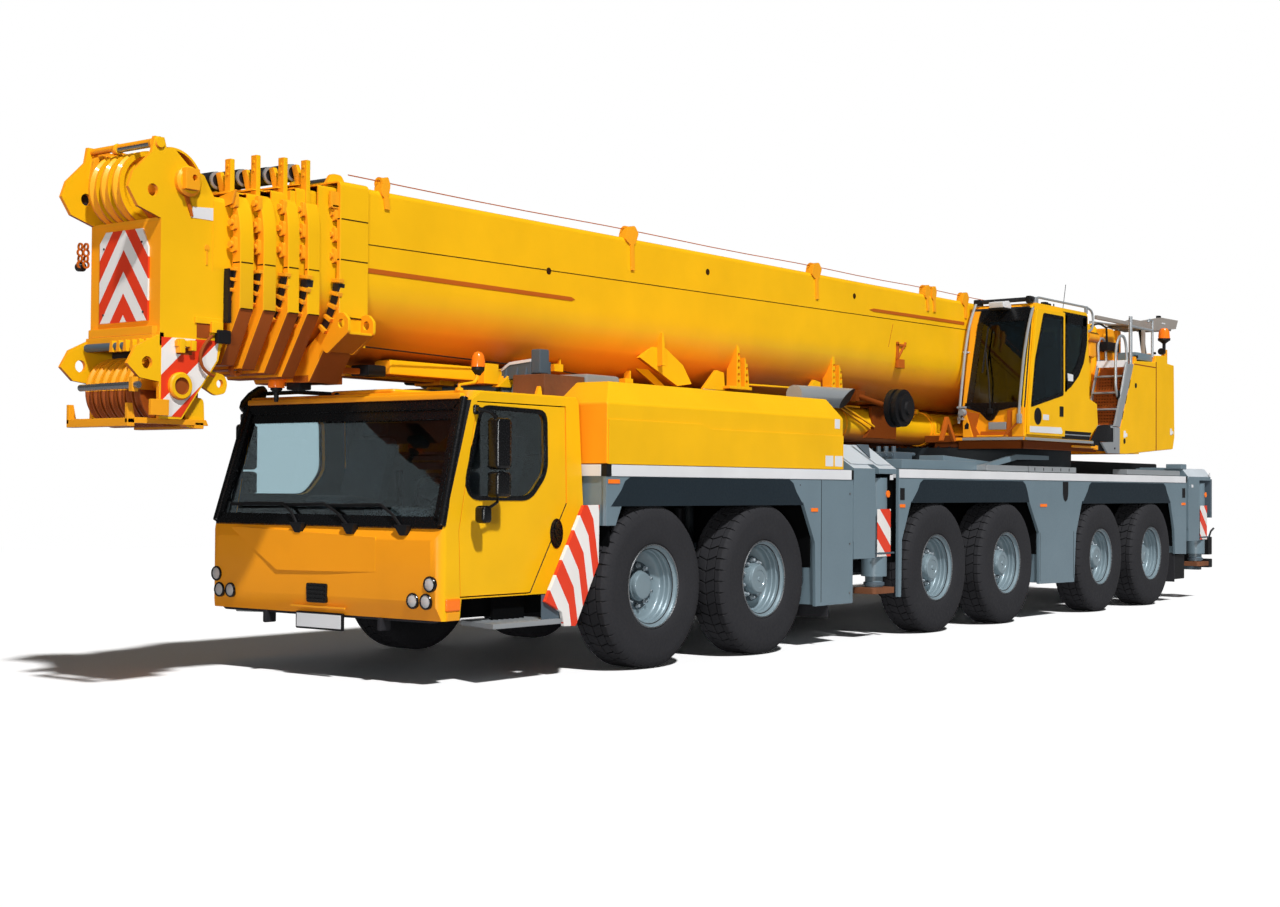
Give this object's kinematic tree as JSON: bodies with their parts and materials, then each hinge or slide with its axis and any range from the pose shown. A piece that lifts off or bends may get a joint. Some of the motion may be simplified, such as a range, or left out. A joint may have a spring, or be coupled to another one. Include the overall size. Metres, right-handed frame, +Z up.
{
  "type": "mobile crane",
  "caption": "Wheeled mobile crane: low carrier cab, slewing superstructure with its own cab, telescopic boom lowered over the front, luffing cylinder and sliding outriggers with jacks.",
  "frame": {"origin": "on the ground, at the middle of the whole machine's length and width with its boom lowered", "axes": "+Z up, -Y to the machine's front, where the boom head is, and +X to its left side"},
  "size_m": [3, 17.62, 3.9898],
  "materials": {
    "yellow_paint": "gloss body paint",
    "orange_paint": "gloss paint on the boom's front frames and hatches",
    "frame_grey": "satin paint on the carrier frame",
    "panel_grey": "satin paint on the side panels",
    "silver_paint": "satin paint on the boom rest and steps",
    "dark_steel": "oily dark steel",
    "polished_rod": "polished piston rod",
    "tyre": "matt rubber tread over a grey disc wheel",
    "sheave_plastic": "cast plastic rope sheaves",
    "glass": "clear window glass"
  },
  "bodies": {
    "carrier": {"axle_beams": "dark_steel", "carrier_frame": "frame_grey", "outrigger_boxes": "panel_grey", "cab_steps": "silver_paint", "side_fenders": "panel_grey", "carrier_cab": "yellow_paint", "windscreen": "glass", "engine_cover": "yellow_paint", "engine_block": "dark_steel", "boom_rest": "silver_paint"},
    "knuckle_1_left": {"knuckle_1_left": "dark_steel"},
    "wheel_1_left": {"wheel_1_left": "tyre"},
    "knuckle_1_right": {"knuckle_1_right": "dark_steel"},
    "wheel_1_right": {"wheel_1_right": "tyre"},
    "knuckle_2_left": {"knuckle_2_left": "dark_steel"},
    "wheel_2_left": {"wheel_2_left": "tyre"},
    "knuckle_2_right": {"knuckle_2_right": "dark_steel"},
    "wheel_2_right": {"wheel_2_right": "tyre"},
    "knuckle_3_left": {"knuckle_3_left": "dark_steel"},
    "wheel_3_left": {"wheel_3_left": "tyre"},
    "knuckle_3_right": {"knuckle_3_right": "dark_steel"},
    "wheel_3_right": {"wheel_3_right": "tyre"},
    "knuckle_4_left": {"knuckle_4_left": "dark_steel"},
    "wheel_4_left": {"wheel_4_left": "tyre"},
    "knuckle_4_right": {"knuckle_4_right": "dark_steel"},
    "wheel_4_right": {"wheel_4_right": "tyre"},
    "knuckle_5_left": {"knuckle_5_left": "dark_steel"},
    "wheel_5_left": {"wheel_5_left": "tyre"},
    "knuckle_5_right": {"knuckle_5_right": "dark_steel"},
    "wheel_5_right": {"wheel_5_right": "tyre"},
    "knuckle_6_left": {"knuckle_6_left": "dark_steel"},
    "wheel_6_left": {"wheel_6_left": "tyre"},
    "knuckle_6_right": {"knuckle_6_right": "dark_steel"},
    "wheel_6_right": {"wheel_6_right": "tyre"},
    "cab_door_left": {"cab_door_left": "yellow_paint"},
    "cab_door_right": {"cab_door_right": "yellow_paint"},
    "outrigger_beam_front_left": {"outrigger_beam_front_left": "frame_grey"},
    "outrigger_jack_front_left": {"outrigger_jack_front_left": "polished_rod"},
    "outrigger_beam_front_right": {"outrigger_beam_front_right": "frame_grey"},
    "outrigger_jack_front_right": {"outrigger_jack_front_right": "polished_rod"},
    "outrigger_beam_rear_left": {"outrigger_beam_rear_left": "frame_grey"},
    "outrigger_jack_rear_left": {"outrigger_jack_rear_left": "polished_rod"},
    "outrigger_beam_rear_right": {"outrigger_beam_rear_right": "frame_grey"},
    "outrigger_jack_rear_right": {"outrigger_jack_rear_right": "polished_rod"},
    "superstructure": {"turntable": "yellow_paint", "machinery_boxes": "yellow_paint", "winch": "dark_steel"},
    "crane_cab": {"crane_cab": "yellow_paint", "crane_cab_glass": "glass"},
    "crane_cab_door": {"crane_cab_door": "yellow_paint"},
    "boom_base": {"boom_base": "yellow_paint", "boom_base_fittings": "yellow_paint"},
    "boom_section_1": {"boom_section_1": "orange_paint"},
    "boom_section_2": {"boom_section_2": "orange_paint"},
    "boom_section_3": {"boom_section_3": "orange_paint"},
    "boom_section_4": {"boom_section_4": "orange_paint"},
    "boom_head": {"boom_head_section": "orange_paint", "head_sheaves": "sheave_plastic"},
    "luff_cylinder": {"luff_cylinder": "yellow_paint"},
    "luff_rod": {"luff_rod": "polished_rod"}
  },
  "joints": [
    {"name": "steer_1_left", "type": "hinge", "parent": "carrier", "child": "knuckle_1_left", "pos_m": [1.175, -4.4, 0.675], "axis": [0, 0, 1], "range_deg": [-30, 30]},
    {"name": "spin_1_left", "type": "hinge", "parent": "knuckle_1_left", "child": "wheel_1_left", "pos_m": [1.3075, -4.4, 0.675], "axis": [1, 0, 0], "continuous": true},
    {"name": "steer_1_right", "type": "hinge", "parent": "carrier", "child": "knuckle_1_right", "pos_m": [-1.175, -4.4, 0.675], "axis": [0, 0, 1], "range_deg": [-30, 30]},
    {"name": "spin_1_right", "type": "hinge", "parent": "knuckle_1_right", "child": "wheel_1_right", "pos_m": [-1.3075, -4.4, 0.675], "axis": [1, 0, 0], "continuous": true},
    {"name": "steer_2_left", "type": "hinge", "parent": "carrier", "child": "knuckle_2_left", "pos_m": [1.175, -2.75, 0.675], "axis": [0, 0, 1], "range_deg": [-22, 22]},
    {"name": "spin_2_left", "type": "hinge", "parent": "knuckle_2_left", "child": "wheel_2_left", "pos_m": [1.3075, -2.75, 0.675], "axis": [1, 0, 0], "continuous": true},
    {"name": "steer_2_right", "type": "hinge", "parent": "carrier", "child": "knuckle_2_right", "pos_m": [-1.175, -2.75, 0.675], "axis": [0, 0, 1], "range_deg": [-22, 22]},
    {"name": "spin_2_right", "type": "hinge", "parent": "knuckle_2_right", "child": "wheel_2_right", "pos_m": [-1.3075, -2.75, 0.675], "axis": [1, 0, 0], "continuous": true},
    {"name": "steer_3_left", "type": "hinge", "parent": "carrier", "child": "knuckle_3_left", "pos_m": [1.175, 0.53, 0.675], "axis": [0, 0, 1], "range_deg": [-5, 5]},
    {"name": "spin_3_left", "type": "hinge", "parent": "knuckle_3_left", "child": "wheel_3_left", "pos_m": [1.3075, 0.53, 0.675], "axis": [1, 0, 0], "continuous": true},
    {"name": "steer_3_right", "type": "hinge", "parent": "carrier", "child": "knuckle_3_right", "pos_m": [-1.175, 0.53, 0.675], "axis": [0, 0, 1], "range_deg": [-5, 5]},
    {"name": "spin_3_right", "type": "hinge", "parent": "knuckle_3_right", "child": "wheel_3_right", "pos_m": [-1.3075, 0.53, 0.675], "axis": [1, 0, 0], "continuous": true},
    {"name": "steer_4_left", "type": "hinge", "parent": "carrier", "child": "knuckle_4_left", "pos_m": [1.175, 2.18, 0.675], "axis": [0, 0, 1], "range_deg": [-5, 5]},
    {"name": "spin_4_left", "type": "hinge", "parent": "knuckle_4_left", "child": "wheel_4_left", "pos_m": [1.3075, 2.18, 0.675], "axis": [1, 0, 0], "continuous": true},
    {"name": "steer_4_right", "type": "hinge", "parent": "carrier", "child": "knuckle_4_right", "pos_m": [-1.175, 2.18, 0.675], "axis": [0, 0, 1], "range_deg": [-5, 5]},
    {"name": "spin_4_right", "type": "hinge", "parent": "knuckle_4_right", "child": "wheel_4_right", "pos_m": [-1.3075, 2.18, 0.675], "axis": [1, 0, 0], "continuous": true},
    {"name": "steer_5_left", "type": "hinge", "parent": "carrier", "child": "knuckle_5_left", "pos_m": [1.175, 4.81, 0.675], "axis": [0, 0, 1], "range_deg": [-21, 21]},
    {"name": "spin_5_left", "type": "hinge", "parent": "knuckle_5_left", "child": "wheel_5_left", "pos_m": [1.3075, 4.81, 0.675], "axis": [1, 0, 0], "continuous": true},
    {"name": "steer_5_right", "type": "hinge", "parent": "carrier", "child": "knuckle_5_right", "pos_m": [-1.175, 4.81, 0.675], "axis": [0, 0, 1], "range_deg": [-21, 21]},
    {"name": "spin_5_right", "type": "hinge", "parent": "knuckle_5_right", "child": "wheel_5_right", "pos_m": [-1.3075, 4.81, 0.675], "axis": [1, 0, 0], "continuous": true},
    {"name": "steer_6_left", "type": "hinge", "parent": "carrier", "child": "knuckle_6_left", "pos_m": [1.175, 6.46, 0.675], "axis": [0, 0, 1], "range_deg": [-30, 30]},
    {"name": "spin_6_left", "type": "hinge", "parent": "knuckle_6_left", "child": "wheel_6_left", "pos_m": [1.3075, 6.46, 0.675], "axis": [1, 0, 0], "continuous": true},
    {"name": "steer_6_right", "type": "hinge", "parent": "carrier", "child": "knuckle_6_right", "pos_m": [-1.175, 6.46, 0.675], "axis": [0, 0, 1], "range_deg": [-30, 30]},
    {"name": "spin_6_right", "type": "hinge", "parent": "knuckle_6_right", "child": "wheel_6_right", "pos_m": [-1.3075, 6.46, 0.675], "axis": [1, 0, 0], "continuous": true},
    {"name": "cab_door_left_hinge", "type": "hinge", "parent": "carrier", "child": "cab_door_left", "pos_m": [1.278, -6.537, 1.4], "axis": [0, 0, -1], "range_deg": [0, 70]},
    {"name": "cab_door_right_hinge", "type": "hinge", "parent": "carrier", "child": "cab_door_right", "pos_m": [-1.278, -6.537, 1.4], "axis": [0, 0, 1], "range_deg": [0, 70]},
    {"name": "outrigger_beam_front_left_slide", "type": "slide", "parent": "carrier", "child": "outrigger_beam_front_left", "axis": [1, 0, 0], "range_m": [0, 2.3]},
    {"name": "outrigger_jack_front_left_slide", "type": "slide", "parent": "outrigger_beam_front_left", "child": "outrigger_jack_front_left", "axis": [0, 0, -1], "range_m": [0, 0.6]},
    {"name": "outrigger_beam_front_right_slide", "type": "slide", "parent": "carrier", "child": "outrigger_beam_front_right", "axis": [-1, 0, 0], "range_m": [0, 2.3]},
    {"name": "outrigger_jack_front_right_slide", "type": "slide", "parent": "outrigger_beam_front_right", "child": "outrigger_jack_front_right", "axis": [0, 0, -1], "range_m": [0, 0.6]},
    {"name": "outrigger_beam_rear_left_slide", "type": "slide", "parent": "carrier", "child": "outrigger_beam_rear_left", "axis": [1, 0, 0], "range_m": [0, 2.3]},
    {"name": "outrigger_jack_rear_left_slide", "type": "slide", "parent": "outrigger_beam_rear_left", "child": "outrigger_jack_rear_left", "axis": [0, 0, -1], "range_m": [0, 0.6]},
    {"name": "outrigger_beam_rear_right_slide", "type": "slide", "parent": "carrier", "child": "outrigger_beam_rear_right", "axis": [-1, 0, 0], "range_m": [0, 2.3]},
    {"name": "outrigger_jack_rear_right_slide", "type": "slide", "parent": "outrigger_beam_rear_right", "child": "outrigger_jack_rear_right", "axis": [0, 0, -1], "range_m": [0, 0.6]},
    {"name": "slew", "type": "hinge", "parent": "carrier", "child": "superstructure", "pos_m": [0, 4.1, 2], "axis": [0, 0, 1], "continuous": true},
    {"name": "crane_cab_tilt", "type": "hinge", "parent": "superstructure", "child": "crane_cab", "pos_m": [1.058, 4.5, 2.1], "axis": [-1, 0, 0], "range_deg": [0, 20]},
    {"name": "crane_cab_door_slide", "type": "slide", "parent": "crane_cab", "child": "crane_cab_door", "axis": [0, 1, 0], "range_m": [0, 0.76]},
    {"name": "luff", "type": "hinge", "parent": "superstructure", "child": "boom_base", "pos_m": [0, 6.8, 3.2], "axis": [-1, 0, 0], "range_deg": [0, 83]},
    {"name": "luff_cylinder_swing", "type": "hinge", "parent": "superstructure", "child": "luff_cylinder", "pos_m": [0, 4.2, 2.21], "axis": [-1, 0, 0], "range_deg": [0, 95]},
    {"name": "luff_rod_slide", "type": "slide", "parent": "luff_cylinder", "child": "luff_rod", "axis": [0, -1, 0], "range_m": [0, 3.45]},
    {"name": "telescope_1", "type": "slide", "parent": "boom_base", "child": "boom_section_1", "axis": [0, -1, 0], "range_m": [0, 8.9]},
    {"name": "telescope_2", "type": "slide", "parent": "boom_section_1", "child": "boom_section_2", "axis": [0, -1, 0], "range_m": [0, 8.9]},
    {"name": "telescope_3", "type": "slide", "parent": "boom_section_2", "child": "boom_section_3", "axis": [0, -1, 0], "range_m": [0, 8.9]},
    {"name": "telescope_4", "type": "slide", "parent": "boom_section_3", "child": "boom_section_4", "axis": [0, -1, 0], "range_m": [0, 8.9]},
    {"name": "telescope_5", "type": "slide", "parent": "boom_section_4", "child": "boom_head", "axis": [0, -1, 0], "range_m": [0, 8.9]}
  ],
  "couplings": [
    {"joint": "steer_1_right", "follows": "steer_1_left", "ratio": 1},
    {"joint": "steer_2_left", "follows": "steer_1_left", "ratio": 0.71},
    {"joint": "steer_2_right", "follows": "steer_1_left", "ratio": 0.71},
    {"joint": "steer_3_left", "follows": "steer_1_left", "ratio": 0.14},
    {"joint": "steer_3_right", "follows": "steer_1_left", "ratio": 0.14},
    {"joint": "steer_4_left", "follows": "steer_6_left", "ratio": 0.16},
    {"joint": "steer_4_right", "follows": "steer_6_left", "ratio": 0.16},
    {"joint": "steer_5_left", "follows": "steer_6_left", "ratio": 0.68},
    {"joint": "steer_5_right", "follows": "steer_6_left", "ratio": 0.68},
    {"joint": "steer_6_right", "follows": "steer_6_left", "ratio": 1},
    {"joint": "luff_cylinder_swing", "follows": "luff", "ratio": 1.137},
    {"joint": "luff_rod_slide", "follows": "luff", "m_per_rad": 2.372}
  ]
}
